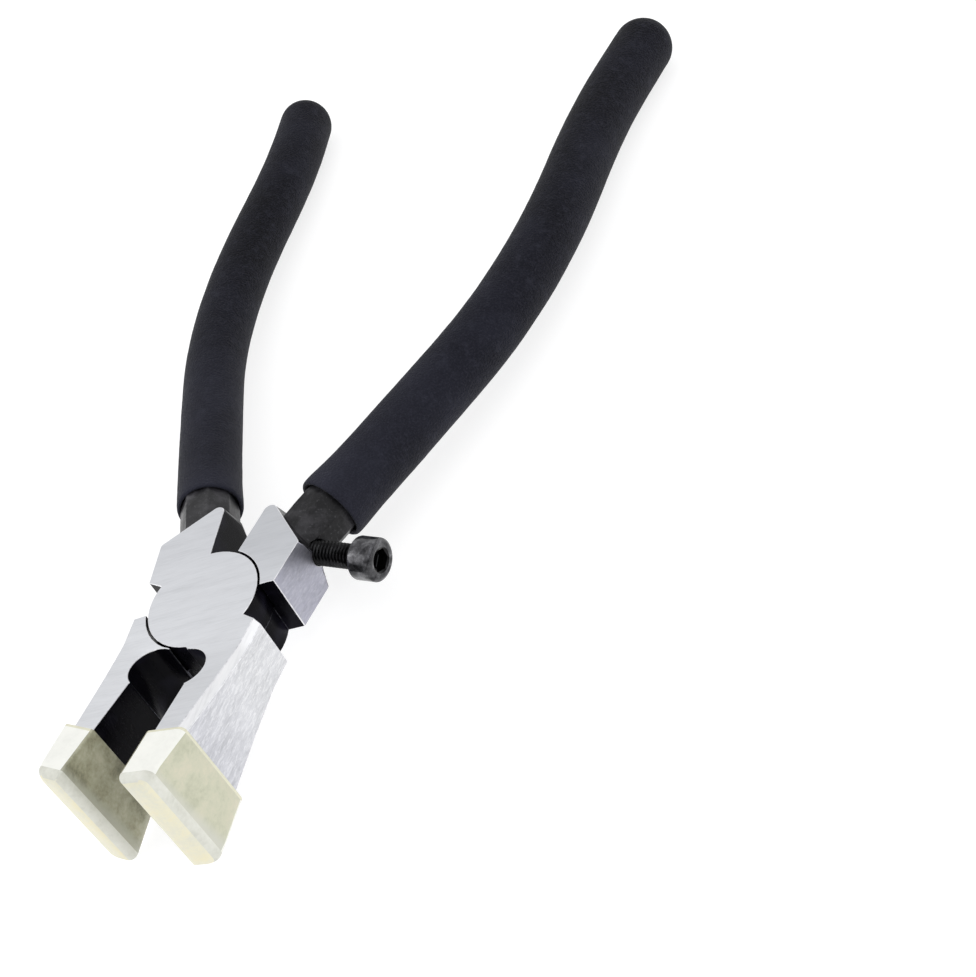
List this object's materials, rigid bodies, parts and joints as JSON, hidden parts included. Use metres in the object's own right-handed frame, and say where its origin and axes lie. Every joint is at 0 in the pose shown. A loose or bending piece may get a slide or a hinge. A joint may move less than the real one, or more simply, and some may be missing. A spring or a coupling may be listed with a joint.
{
  "type": "running pliers",
  "caption": "Wide-jawed pliers with foam grips, soft jaw caps and an adjusting screw, for breaking scored glass along its line.",
  "frame": {"origin": "centre of the pivot, on the middle plane between the two half discs", "axes": "+Z along the pivot axis, away from the pin's round head; +Y towards the handles, -Y towards the jaw tips; +X towards the side the adjusting screw is on"},
  "size_m": [0.1043, 0.2219, 0.0274],
  "materials": {
    "steel": "ground faces, black oxide between the jaws",
    "black_screw": "black oxide",
    "foam": "matt closed-cell foam",
    "cap": "translucent soft vinyl"
  },
  "bodies": {
    "plain_half": {"plain_lever": "steel", "pivot_pin": "steel", "plain_lever_grip": "foam", "plain_lever_jaw_cap": "cap"},
    "screw_half": {"screw_lever": "steel", "screw_lever_grip": "foam", "screw_lever_jaw_cap": "cap"},
    "screw": {"adjusting_screw": "black_screw"}
  },
  "joints": [
    {"name": "pivot", "type": "hinge", "parent": "plain_half", "child": "screw_half", "pos_m": [0, 0, 0], "axis": [0, 0, -1], "range_deg": [-16, 33]},
    {"name": "screw_travel", "type": "slide", "parent": "screw_half", "child": "screw", "axis": [0.9871, -0.1599, 0], "range_m": [-0.0036, 0.008]}
  ]
}
